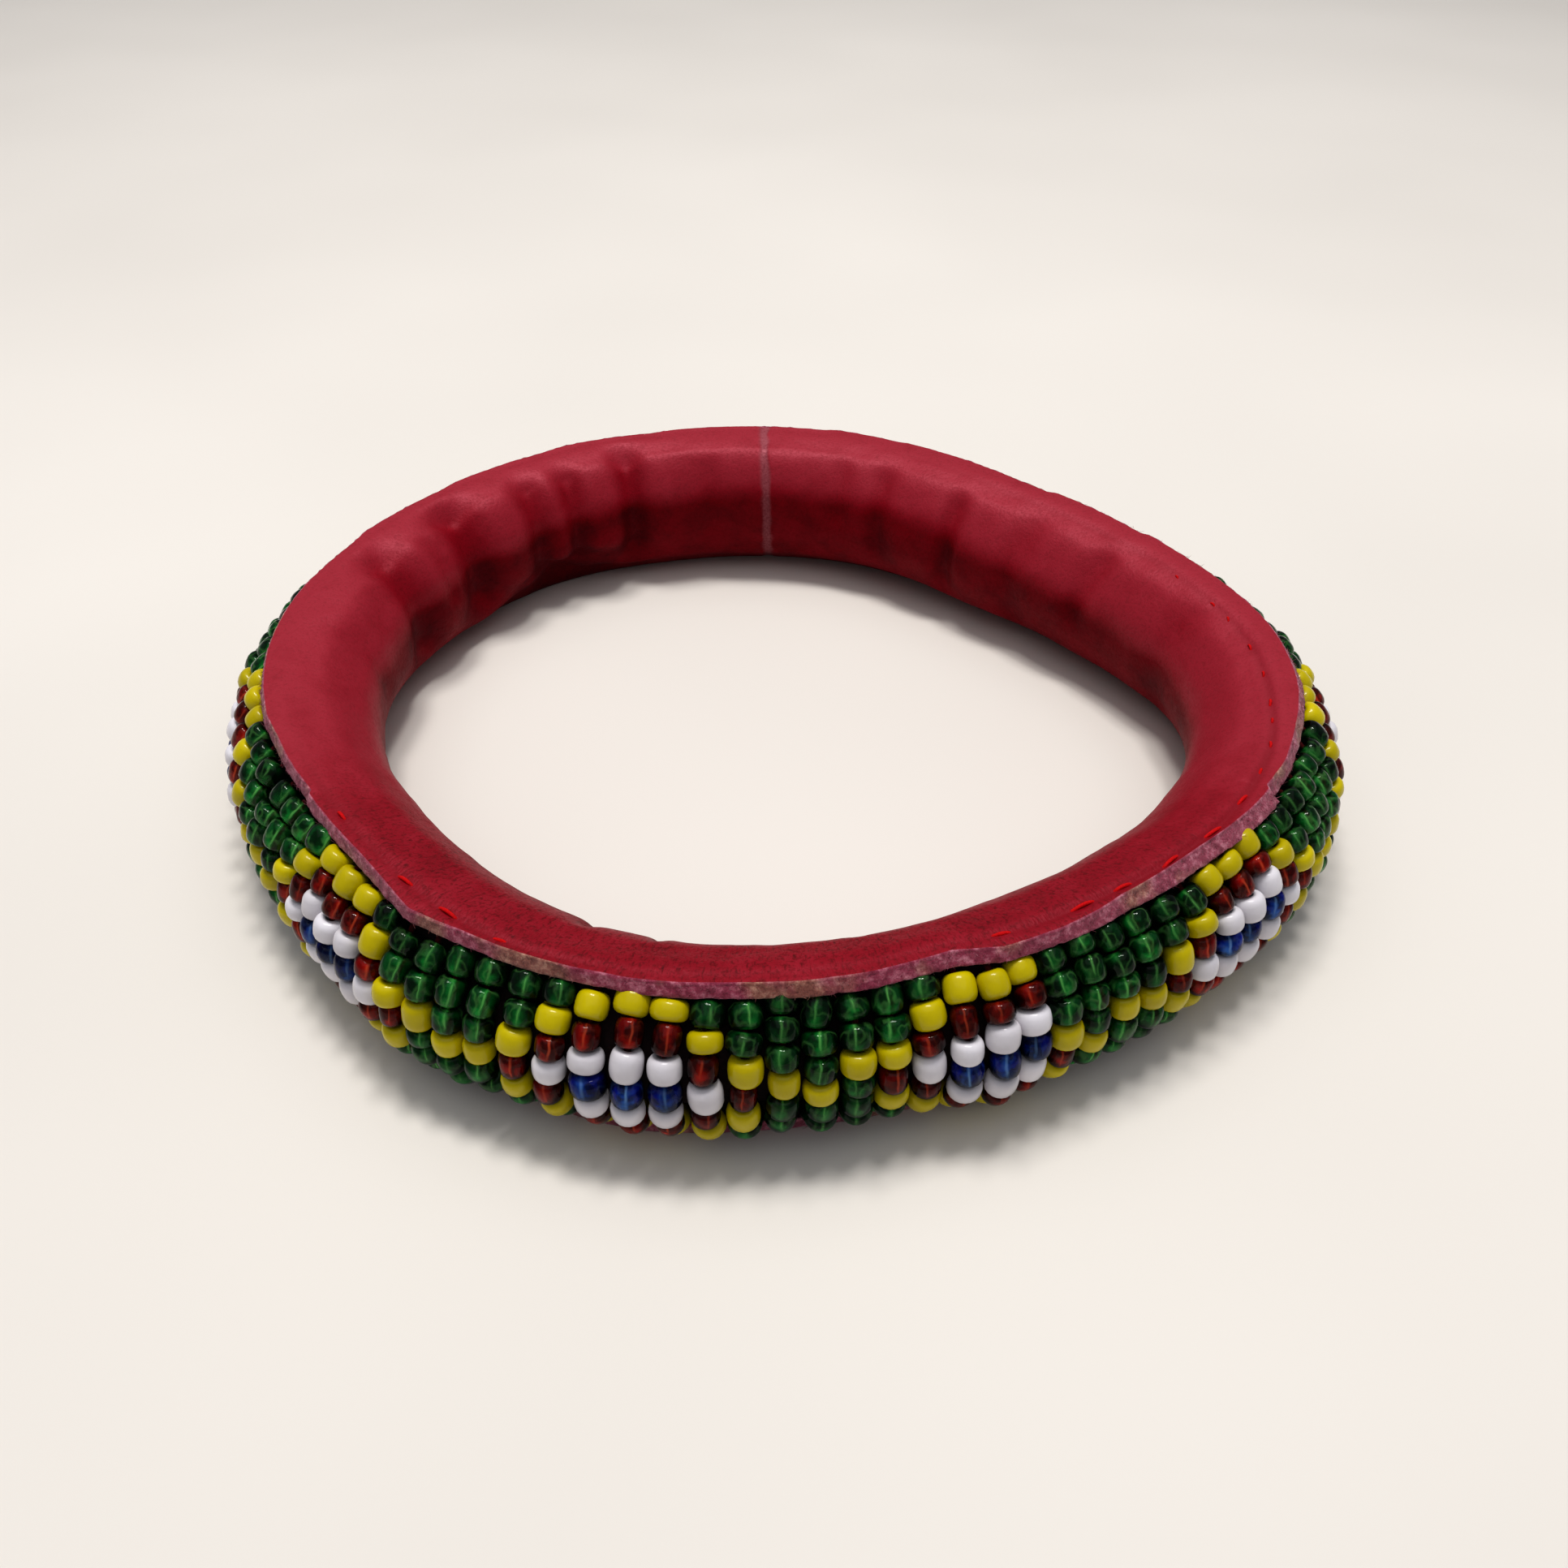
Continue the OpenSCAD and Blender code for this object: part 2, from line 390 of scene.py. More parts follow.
# Parts of the ring, for its colour: start, fade, end, fade
WORN_ZONE = (200, 25, 335, 35)
FRONT_ZONE = (196, 22, 344, 22)

# Where the paler crest, which is painted light, fades into the deep red wall, which is painted shade: how
# much further down at the sides, how much less it shows in front, and how much painted shade deepens the
# folds' colour
PAINTED_LIGHT_TO = 154
PAINTED_LIGHT_AT_SIDES = 24
PAINTED_LIGHT_FADE = 28
PAINTED_LIGHT_EDGE = [(8, 6.0, 31)]
PAINTED_LIGHT_LESS_IN_FRONT = 0.5
PAINTED_SHADE_DEEPEST = -0.4
FOLD_SHADE = 0.42

# Radius that the skin is unrolled at, for the scratches
UNROLLED_R = 45.0

# Angles between two sections, and the places with closer ones: angle, reach to each side
STATION_STEP = 0.53
CLOSE_STEP = 0.15
CLOSE_STATIONS = [(210.7, 1.2), (331.1, 1.5), (89.8, 1.2), (449.8, 1.2)]

# Stretches of the section, in order: the part that each belongs to, and its number of points
STRETCHES = [
    ("under", 4), ("cut", 3), ("cut", 6), ("cut", 3), ("top", 9), ("top", 18), ("pad", 42),
    ("foot", 12), ("foot", 10), ("low_cut", 2), ("low_cut", 4), ("low_cut", 2), ("low_under", 3),
    ("bed", 16),
]
PART_OF_POINT = [part for part, count in STRETCHES for _ in range(count)]

# Parts of the section with the skin and with a cut edge; the rest is the flesh side
SKIN_PARTS = ("top", "pad", "foot")
CUT_PARTS = ("cut", "low_cut")


def line(start, end, count):
    """Points from start towards end, without the end."""
    return [tuple(a + (b - a) * k / count for a, b in zip(start, end)) for k in range(count)]


def arc(middle, radius, start, end, count):
    """Points of an arc between two directions in degrees, without the end."""
    turns = [math.radians(start + (end - start) * k / count) for k in range(count)]
    return [(middle[0] + radius * math.cos(t), middle[1] + radius * math.sin(t)) for t in turns]


def sweep_over(start, start_way, end, end_way, count):
    """Points of a smooth curve that leaves start and reaches end in given directions."""
    made = []
    for k in range(count):
        t = k / count
        weights = (2 * t**3 - 3 * t**2 + 1, t**3 - 2 * t**2 + t, 3 * t**2 - 2 * t**3, t**3 - t**2)
        parts = zip(start, start_way, end, end_way)
        made.append(tuple(sum(w * p for w, p in zip(weights, part)) for part in parts))
    return made


def pad_rim(angles):
    """The padding's outline, as a function of the fan, and the way along it there."""
    pad_w = centre_r(angles) - plan(angles, INNER)
    lift, square = (table_at(SHOULDER, angles, k) for k in (4, 5))

    def rim(fan):
        lifted = PAD_TOP + lift * ease((LIFT_END - fan) / (LIFT_END - PAD_FROM))
        height = lifted if fan <= 180 else PAD_BOTTOM
        inset = fold(angles, fan)
        across, upward = math.cos(math.radians(fan)), math.sin(math.radians(fan))
        power = square if fan <= 180 else 2.0
        swell = (abs(across) ** power + abs(upward) ** power) ** (-1 / power)
        return (pad_w * swell - inset) * across, (height * swell - inset) * upward

    def rim_way(fan, length):
        way = np.subtract(rim(fan + FAN_NUDGE), rim(fan - FAN_NUDGE))
        return way / np.hypot(*way) * length

    return rim, rim_way


def leather_section(angles):
    """The leather's section at each angle: arrays of out and up, a column for each point."""
    rim, rim_way = pad_rim(angles)
    wobble = layers(placed(angles, EDGE_OUT, EDGE_UP), KNIFE_WOBBLE)
    lip = table_at(LIP_EDGE, angles, 1) + wobble
    brow = lip - table_at(LIP_EDGE, angles, 2) - BROW_STEADINESS * wobble
    low = LOW_LIP_REACH + layers(placed(angles, EDGE_OUT, -EDGE_UP), LOW_WOBBLE)
    flat_end, roundness, drop = (table_at(SHOULDER, angles, k) for k in (1, 2, 3))

    top = CENTRE_H
    edge = top - drop
    flange_out = np.minimum(flat_end, brow - FLANGE_BACK)
    flange = (flange_out, top)
    reach = brow - BROW_ROUND - flange_out
    low_edge = low - CUT_ROUND

    def padding(count):
        return [rim(PAD_FROM + (PAD_TO - PAD_FROM) * k / (count - 1)) for k in range(count)]

    def heel(count):
        start_way = rim_way(PAD_TO, HEEL_ROUNDNESS)
        end = (LOW_FLANGE_END, -top)
        return sweep_over(rim(PAD_TO), start_way, end, (HEEL_ROUNDNESS, 0), count + 1)[1:]

    drawn = [
        (line, (LIP_ROOT, LIP_FACE - LIP_ROOT_LIFT), (lip - CUT_ROUND, LIP_FACE - drop)),
        (arc, (lip - CUT_ROUND, LIP_FACE - drop + CUT_ROUND), CUT_ROUND, -90, 0),
        (line, (lip, LIP_FACE - drop + CUT_ROUND), (brow, edge - BROW_ROUND)),
        (arc, (brow - BROW_ROUND, edge - BROW_ROUND), BROW_ROUND, 0, 90),
        (sweep_over, (brow - BROW_ROUND, edge), (-reach, EDGE_SAG * drop), flange, (-reach, 0)),
        (sweep_over, flange, (-roundness, 0), rim(PAD_FROM), rim_way(PAD_FROM, roundness)),
        (padding,),
        (heel,),
        (line, (LOW_FLANGE_END, -top), (low_edge, -top)),
        (arc, (low_edge, CUT_ROUND - top), CUT_ROUND, -90, 0),
        (line, (low, CUT_ROUND - top), (low, -LIP_FACE - CUT_ROUND)),
        (arc, (low_edge, -LIP_FACE - CUT_ROUND), CUT_ROUND, 0, 90),
        (line, (low_edge, -LIP_FACE), (LIP_ROOT, LIP_ROOT_LIFT - LIP_FACE)),
        (bed, angles),
    ]
    points = [p for (draw, *shape), (_, count) in zip(drawn, STRETCHES) for p in draw(*shape, count)]
    out = np.stack([np.broadcast_to(p[0], lip.shape) for p in points], 1)
    up = np.stack([np.broadcast_to(p[1], lip.shape) for p in points], 1)
    return out, up


def bed(angles, count):
    """The leather behind the beads, from the bottom to the top."""
    places = zip(*thread_at(np.linspace(THREAD_LENGTH, 0, count + 2)[1:-1]))
    bulge = table_at(BULGE, angles, 1)
    return [(out + BED_DEPTH * way[1] + bulge, up - BED_DEPTH * way[0]) for out, up, way in places]


def leather_stations():
    """Angles of the sections, closer at the seam and where the lip's edge has a step."""
    made = [np.arange(0, 360, STATION_STEP) + SEAM_ANGLE]
    made += [centre + np.arange(-reach, reach, CLOSE_STEP) for centre, reach in CLOSE_STATIONS]
    angles = np.concatenate(made)
    once_round = (angles >= SEAM_ANGLE) & (angles < SEAM_ANGLE + 360)
    return np.unique(np.round(angles[once_round], 3))


def part_mask(*parts):
    """Which points of the section belong to some parts, as a row."""
    return np.array([part in parts for part in PART_OF_POINT])[None]


def seam_strength(turned, base, up):
    """How much the line where the two ends meet shows, from 0 to 1."""
    drift = layers(base, SEAM_DRIFT) + SEAM_LEAN * up
    width = SEAM_WIDTH * (1 + layers(base, SEAM_UNEVEN))
    away = turn(turned, SEAM_ANGLE + drift) / width
    return np.exp(-(away**SEAM_SHARPNESS)) * part_mask(*SKIN_PARTS)


def groove_strength(angles, out, up):
    """How deep the stitches pull the leather in, from 0 to 1."""
    stitch = table_at(STITCH_LINE, angles, 1)[:, None]
    on_top = part_mask("top") * np.exp(-(((out - stitch) / GROOVE_WIDTH) ** 2))
    on_top *= table_at(STITCH_PULL, angles, 1)[:, None]
    on_foot = part_mask("foot") * np.exp(-(((out - LOW_STITCH_REACH) / GROOVE_WIDTH) ** 2))
    return on_top + on_foot * (up < UNDERSIDE)


def painted_light_strength(turned, base, out, up):
    """Painted light and shade on the skin: 1 on the paler, painted-lit crest, and below 0 where painted
    shade deepens the folds.
    """
    fan = np.degrees(np.arctan2(up, out)) % 360
    sides = PAINTED_LIGHT_AT_SIDES * np.cos(np.radians(turned)) ** 2
    crest = ease((PAINTED_LIGHT_TO + sides + layers(base, PAINTED_LIGHT_EDGE) - fan) / PAINTED_LIGHT_FADE)
    kept = 1 - PAINTED_LIGHT_LESS_IN_FRONT * zone(turned, *FRONT_ZONE)
    return np.clip(crest * kept - FOLD_SHADE * fold(turned, fan), PAINTED_SHADE_DEEPEST, 1)


def leather_mesh():
    """The leather cover's angles, points, and values for its materials."""
    angles = leather_stations()
    out, up = leather_section(angles)
    turned = angles[:, None] + 0 * out
    base = placed(turned, out, up)

    tangent_out = np.roll(out, -1, 1) - np.roll(out, 1, 1)
    tangent_up = np.roll(up, -1, 1) - np.roll(up, 1, 1)
    size = np.hypot(tangent_out, tangent_up)
    normal_out, normal_up = tangent_up / size, -tangent_out / size

    padded = part_mask("pad", "top") * ease((DENTS_TO - out) / DENTS_FADE)
    push = padded * layers(base, DENTS)
    push += part_mask(*SKIN_PARTS) * layers(base, SKIN_GRAIN)
    push += part_mask(*CUT_PARTS) * (layers(base, CUT_NAP) + layers(base * STREAK_SHAPE, CUT_STREAKS))
    groove = groove_strength(angles, out, up)
    seam = seam_strength(turned, base, up)
    push -= GROOVE_DEPTH * groove
    push -= SEAM_DEPTH * seam

    out, up = out + push * normal_out, up + push * normal_up
    up = np.maximum(up, -CENTRE_H)
    values = {
        "groove": groove,
        "worn": zone(turned, *WORN_ZONE) * part_mask("top", "pad"),
        "seam": seam,
        "painted_light_and_shade": painted_light_strength(turned, base, out, up),
    }
    return angles, placed(turned, out, up), values


def unrolled(angles, points):
    """Places on the skin in millimetres, along the ring and round the tube, with the first row again."""
    steps = np.linalg.norm(np.diff(points, axis=1), axis=2)
    around = np.concatenate([np.zeros((len(points), 1)), np.cumsum(steps, 1)], 1)
    along = np.radians(angles)[:, None] * UNROLLED_R + 0 * around
    flat = np.stack([along, around], -1)
    return np.concatenate([flat, flat[:1] + [2 * math.pi * UNROLLED_R, 0]])


def leather_piece(leather, raw_edge, flesh):
    """The leather cover as a mesh."""
    angles, points, values = leather_mesh()
    flat = unrolled(angles, points)
    rings, count = points.shape[:2]
    material_of = [0 if part in SKIN_PARTS else 1 if part in CUT_PARTS else 2 for part in PART_OF_POINT]
    faces, kinds, corners = [], [], []
    for j in range(rings):
        k = (j + 1) % rings
        for i in range(count):
            n = (i + 1) % count
            faces.append((j * count + i, k * count + i, k * count + n, j * count + n))
            kinds.append(material_of[i])
            corners += [flat[j, i], flat[j + 1, i], flat[j + 1, n], flat[j, n]]
    piece = mesh_piece("leather", points.reshape(-1, 3), faces, [leather, raw_edge, flesh])
    mesh = piece.data
    mesh.polygons.foreach_set("material_index", kinds)
    for name, value in values.items():
        carry(piece, name, value)
    mesh.uv_layers.new(name="skin").data.foreach_set("uv", np.array(corners).ravel().astype(np.float32))
    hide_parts("leather_cover")


# Beads

# Size and shape of a bead
BEAD_R = 1.23
BEAD_HALF = 1.0
BEAD_SQUARE = 2.8
BEAD_SIDES = 20
PROFILE_STEPS = 10
BORE_R = 0.36
BORE_LIP = 0.06
BORE_END = 0.86

# How much the beads differ: spreads of their measures, and the share of wider, shorter ones
RADIUS_SPREAD = 0.035
HALF_SPREAD = 0.08
LEAST_HALF = 0.75
WIDE_SHARE = 0.22
WIDE_MORE = 0.1
WIDE_SHORTER = 0.16
RED_SLIMMER = 0.88
OVAL_SPREAD = 0.02

# How unevenly they lie: spreads of a column's slant and slip, and of each bead's place and lean
SLANT_SPREAD = 0.05
SLIP_SPREAD = 0.06
ASIDE_SPREAD = 0.07
RAISED_SPREAD = 0.06
LEAN_ASIDE_SPREAD = 0.07
LEAN_OUT_SPREAD = 0.05

# Gap between neighbouring columns, and the rounds in which the beads are moved apart
BEAD_GAP = 0.02
SPREAD_ROUNDS = 12

# Side of the ring that the beads' painted light turns to, how far it turns and nods up to it, how much this
# differs, and how much painted shade darkens the beads in front
GLINT_TURN = 270
GLINT_SWING = 1.0
GLINT_NOD = 0.75
GLINT_RISE = 50
GLINT_SPREAD = 0.12
FRONT_PAINTED_SHADE = 0.6


def column_angle(column):
    """Angle of a bead column."""
    marks = np.array(COLUMN_MARKS)
    return float(np.interp(column, marks[:, 0], marks[:, 1]))


def column_colours(column):
    """Colours of a column, from its distance to the nearest diamond's middle."""
    if column in MISCOUNTED:
        return MISCOUNTED[column]
    before = max(d for d in DIAMONDS if d <= column)
    after = min(d for d in DIAMONDS if d >= column)
    past = column - before
    if before < LEFT_OUT_AFTER < column:
        past += 1
    return CHART[min(past, after - column)]


def bead_shape():
    """A bead round the Z axis with radius and half length 1, and its faces."""
    bore = BORE_R / BEAD_R
    profile = []
    for k in range(PROFILE_STEPS + 1):
        t = math.radians(180 * k / PROFILE_STEPS - 90)
        round_out = abs(math.cos(t)) ** (2 / BEAD_SQUARE)
        round_up = math.copysign(abs(math.sin(t)) ** (2 / BEAD_SQUARE), math.sin(t))
        profile.append((bore + BORE_LIP + (1 - bore - BORE_LIP) * round_out, round_up))
    profile += [(bore, BORE_END), (bore, 0.0), (bore, -BORE_END)]
    turns = [2 * math.pi * s / BEAD_SIDES for s in range(BEAD_SIDES)]
    points = [(r * math.cos(a), r * math.sin(a), z) for r, z in profile for a in turns]
    faces = []
    count = len(profile)
    for k in range(count):
        for s in range(BEAD_SIDES):
            n = (s + 1) % BEAD_SIDES
            m = (k + 1) % count
            faces.append((k * BEAD_SIDES + s, k * BEAD_SIDES + n, m * BEAD_SIDES + n, m * BEAD_SIDES + s))
    return np.array(points), np.array(faces)


def bead_places():
    """Each bead: colour, column, row, aside, length down the thread, radius, half length."""
    chance = random.Random(11)
    beads = []
    for column in range(COLUMNS):
        colours = column_colours(column)
        slant = chance.gauss(0, SLANT_SPREAD)
        sizes = []
        for colour in colours:
            wide = chance.random() < WIDE_SHARE
            radius = chance.gauss(BEAD_R, RADIUS_SPREAD) + (WIDE_MORE if wide else 0)
            half = max(LEAST_HALF, chance.gauss(BEAD_HALF, HALF_SPREAD) - (WIDE_SHORTER if wide else 0))
            if colour == "R":
                radius *= RED_SLIMMER
            sizes.append((radius, half))
        scale = THREAD_LENGTH / sum(2 * half for _, half in sizes)
        place = chance.gauss(0, SLIP_SPREAD) + SLIPPED.get(column, 0)
        for row, (radius, half) in enumerate(sizes):
            middle = place + half * scale
            place += 2 * half * scale
            aside = slant * (row - ROWS // 2) + chance.gauss(0, ASIDE_SPREAD)
            beads.append([colours[row], column, row, aside, middle, radius, half * scale])
    return beads


def spread_beads(beads):
    """Moves beads of neighbouring columns apart where they would lie in each other."""
    grid = {(b[1], b[2]): b for b in beads}
    radii = [column_r(column_angle(column)) for column in range(COLUMNS)]

    def separate(a, b, shift):
        apart = abs(a[4] - b[4]) / (a[6] + b[6])
        if apart >= 1:
            return
        need = (a[5] + b[5]) * (1 - apart**BEAD_SQUARE) ** (1 / BEAD_SQUARE) + BEAD_GAP
        mean_r = radii[a[1]] + (thread_at(a[4])[0] + thread_at(b[4])[0]) / 2
        turned = column_angle(b[1]) + shift - column_angle(a[1])
        gap = math.radians(turned) * mean_r + b[3] - a[3]
        if gap < need:
            a[3] -= (need - gap) / 2
            b[3] += (need - gap) / 2

    for _ in range(SPREAD_ROUNDS):
        for column in range(COLUMNS):
            other = (column + 1) % COLUMNS
            shift = 360 if other == 0 else 0
            for row in range(ROWS):
                for near in range(max(0, row - 1), min(ROWS, row + 2)):
                    separate(grid[column, row], grid[other, near], shift)
    return beads


def bead_place(shape, angle, rise, chance):
    """Each point's place on its bead, for the material: aside, towards where its painted light leaves it,
    and up.
    """
    swing = GLINT_SWING * math.sin(math.radians(GLINT_TURN - angle))
    nod = math.radians(GLINT_NOD * (GLINT_RISE - rise))
    turned_x = shape[:, 0] * math.cos(swing) + shape[:, 1] * math.sin(swing)
    outward = shape[:, 0] * math.sin(swing) - shape[:, 1] * math.cos(swing)
    towards = outward * math.cos(nod) + shape[:, 2] * math.sin(nod)
    height = shape[:, 2] * math.cos(nod) - outward * math.sin(nod)
    place = np.stack([turned_x, towards, height], 1)
    place[:, 0] += chance.gauss(0, GLINT_SPREAD)
    place[:, 2] += chance.gauss(0, GLINT_SPREAD)
    return place


def made_bead(bead, shape, chance):
    """A bead's points, its tone with painted shade for the beads in front, and each point's place on it."""
    _, column, _, aside, length, radius, half = bead
    angle = column_angle(column)
    out, up, way = thread_at(length)
    raised = chance.gauss(0.0, RAISED_SPREAD)
    out, up = out - raised * way[1], up + raised * way[0]
    bulge = table_at(BULGE, angle, 1)
    angle += math.degrees(aside / (column_r(angle) + out))
    middle = placed(angle, out + bulge, up)

    a = math.radians(angle)
    away = np.array([-math.cos(a) * way[1], -math.sin(a) * way[1], way[0]])
    axis = np.array([-math.cos(a) * way[0], -math.sin(a) * way[0], -way[1]])
    lean_aside = chance.gauss(0, LEAN_ASIDE_SPREAD)
    lean_out = chance.gauss(0, LEAN_OUT_SPREAD)
    axis = unit(axis + lean_aside * np.cross(away, axis) + lean_out * away)
    side = unit(np.cross(axis, away))
    third = np.cross(axis, side)
    squash = 1 + chance.gauss(0, OVAL_SPREAD)
    frame_axes = np.stack([side * radius * squash, third * radius / squash, axis * half])

    rise = math.degrees(math.atan2(way[0], -way[1]))
    place = bead_place(shape, angle, rise, chance)
    # Painted shade: beads in front are made darker through their tone
    shade = FRONT_PAINTED_SHADE * (1 - abs(math.sin(math.radians(GLINT_TURN - angle)))) if angle > 180 else 0
    return middle + shape @ frame_axes, (1 - shade) * chance.random(), place


def bead_pieces(materials):
    """The seed beads, a mesh for each colour."""
    shape, faces = bead_shape()
    chance = random.Random(23)
    groups = {colour: [] for colour in materials}
    for bead in spread_beads(bead_places()):
        groups[bead[0]].append(made_bead(bead, shape, chance))
    for colour, (name, material, slot) in materials.items():
        points, tones_and_front_shade, places = zip(*groups[colour])
        count = len(shape)
        all_faces = np.concatenate([faces + k * count for k in range(len(points))]).tolist()
        piece = mesh_piece(name, np.concatenate(points), all_faces, [material])
        carry(piece, "tint", np.repeat(tones_and_front_shade, count))
        carry(piece, "bead", np.concatenate(places), "FLOAT_VECTOR", "vector")
        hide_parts("bead_band")


# Threads and stitches

# Thread of a bead column, and how far its ends go into the leather and turn to the beads' middle
THREAD_R = 0.24
THREAD_POINTS = 30
THREAD_TUCK = 0.9
THREAD_TUCK_TURN = 0.15
THREAD_SIDES = 8

# Stitches: thickness, how far their ends dive, and how a short one is slimmer
STITCH_R = 0.155
STITCH_POINTS = 13
STITCH_DIVE = 0.34
STITCH_SKEW_SPREAD = 0.14
SHORT_STITCH = 0.4
SLIMMER_ENDS = 0.6

# Stitches of the lower lip
LOW_STITCH_STEP = 4.0
LOW_STITCH_STEP_SPREAD = 0.25
LOW_STITCH_LENGTH = 1.6
LOW_STITCH_LENGTH_SPREAD = 0.2
LOW_STITCH_START = 1.5
LOW_STITCH_END = 357
LOW_STITCH_LIFT = 0.1

# Loose fibres of the cut edges: their number, where they are, and their measures in millimetres
FIBRES = 2600
FIBRE_SIDES = 3
FIBRE_POINTS = 4
LOW_FIBRE_EVERY = 4
FIBRES_FROM = 186
FIBRES_TO = 396
FIBRE_LENGTH = (0.15, 0.55)
FIBRE_R = (0.014, 0.026)
FIBRE_REACH = (0.3, 0.9)
FIBRE_LEAN_SPREAD = 0.8
FIBRE_RISE_SPREAD = 0.35
FIBRE_ROOT = 0.06
FIBRE_INSET = 0.1
FIBRE_LEAST_UP = 0.02
FIBRE_TAPER = 0.75


def bead_threads(material):
    """The thread through each column of beads, into the leather above and below."""
    outs, ups, _ = thread_at(np.linspace(0, THREAD_LENGTH, THREAD_POINTS))
    outs = np.concatenate([outs[:1] - THREAD_TUCK, outs, outs[-1:] - THREAD_TUCK])
    ups = np.concatenate([ups[:1] + THREAD_TUCK_TURN, ups, ups[-1:] - THREAD_TUCK_TURN])
    angles = [column_angle(column) for column in range(COLUMNS)]
    paths = [placed(angle, outs + table_at(BULGE, angle, 1), ups) for angle in angles]
    radii = [np.full(len(outs), THREAD_R)] * COLUMNS
    piece = tube_piece("bead_threads", paths, radii, THREAD_SIDES, material)


def all_stitches(chance):
    """Every stitch: angle, length, rise, and whether it is in the lower lip."""
    made = [(angle, length, rise, False) for angle, length, rise in STITCHES]
    angle = SEAM_ANGLE + LOW_STITCH_START
    while angle < SEAM_ANGLE + LOW_STITCH_END:
        made.append((angle, LOW_STITCH_LENGTH + chance.gauss(0, LOW_STITCH_LENGTH_SPREAD), 0.0, True))
        step = LOW_STITCH_STEP + chance.gauss(0, LOW_STITCH_STEP_SPREAD)
        angle += math.degrees(step / centre_r(angle))
    return made


def stitches(material):
    """The red running stitches along both lips."""
    chance = random.Random(5)
    shares = np.linspace(0, 1, STITCH_POINTS)
    arch = np.sin(shares * math.pi) ** 0.5
    paths, radii = [], []
    for angle, length, rise, lower in all_stitches(chance):
        radius = centre_r(angle)
        angles = angle + math.degrees(length / radius) * (shares - 0.5)
        reach = LOW_STITCH_REACH + 0 * angles if lower else table_at(STITCH_LINE, angles, 1)
        reach = reach + chance.gauss(0, STITCH_SKEW_SPREAD) * (shares - 0.5)
        height = lip_height(angles, reach, lower) + arch * (STITCH_DIVE + rise) - STITCH_DIVE
        paths.append(placed(angles, reach, -height if lower else height))
        slimmer = min(1.0, SHORT_STITCH + SHORT_STITCH * length)
        radii.append(STITCH_R * slimmer * (SLIMMER_ENDS + (1 - SLIMMER_ENDS) * arch))
    piece = tube_piece("stitches", paths, radii, THREAD_SIDES, material)


def lip_height(angles, reach, lower):
    """Distance of a lip's stitched surface from the centre line, in the groove."""
    if lower:
        return CENTRE_H - GROOVE_DEPTH - LOW_STITCH_LIFT + 0 * reach
    out, up = leather_section(angles)
    top = part_mask("top")[0]
    found = [np.interp(-r, -o[top], u[top]) for r, o, u in zip(reach, out, up)]
    return np.array(found) - GROOVE_DEPTH * table_at(STITCH_PULL, angles, 1)


def edge_fuzz(material):
    """Loose fibres of the cut edges."""
    chance = random.Random(3)
    steps = np.linspace(0, 1, FIBRE_POINTS)
    paths, radii = [], []
    for k in range(FIBRES):
        angle = chance.uniform(FIBRES_FROM, FIBRES_TO)
        lower = k % LOW_FIBRE_EVERY == 0
        edge = [(0, LOW_LIP_REACH, 0)] if lower else LIP_EDGE
        share = chance.random()
        out = table_at(edge, angle, 1) - table_at(edge, angle, 2) * share
        up = LIP_FACE + FIBRE_INSET + share * (CENTRE_H - LIP_FACE - 2 * FIBRE_INSET)
        up = -up if lower else up
        length = chance.uniform(*FIBRE_LENGTH)
        lean = chance.gauss(0, FIBRE_LEAN_SPREAD)
        rise = chance.gauss(0, FIBRE_RISE_SPREAD)
        radius = centre_r(angle) + out
        angles = angle + np.degrees(lean * length * steps**1.3 / radius)
        outs = out - FIBRE_ROOT + length * steps * chance.uniform(*FIBRE_REACH)
        ups = np.maximum(up + rise * length * steps**2, FIBRE_LEAST_UP - CENTRE_H)
        paths.append(placed(angles, outs, ups))
        radii.append(chance.uniform(*FIBRE_R) * (1 - FIBRE_TAPER * steps))
    piece = tube_piece("edge_fuzz", paths, radii, FIBRE_SIDES, material)


# Materials


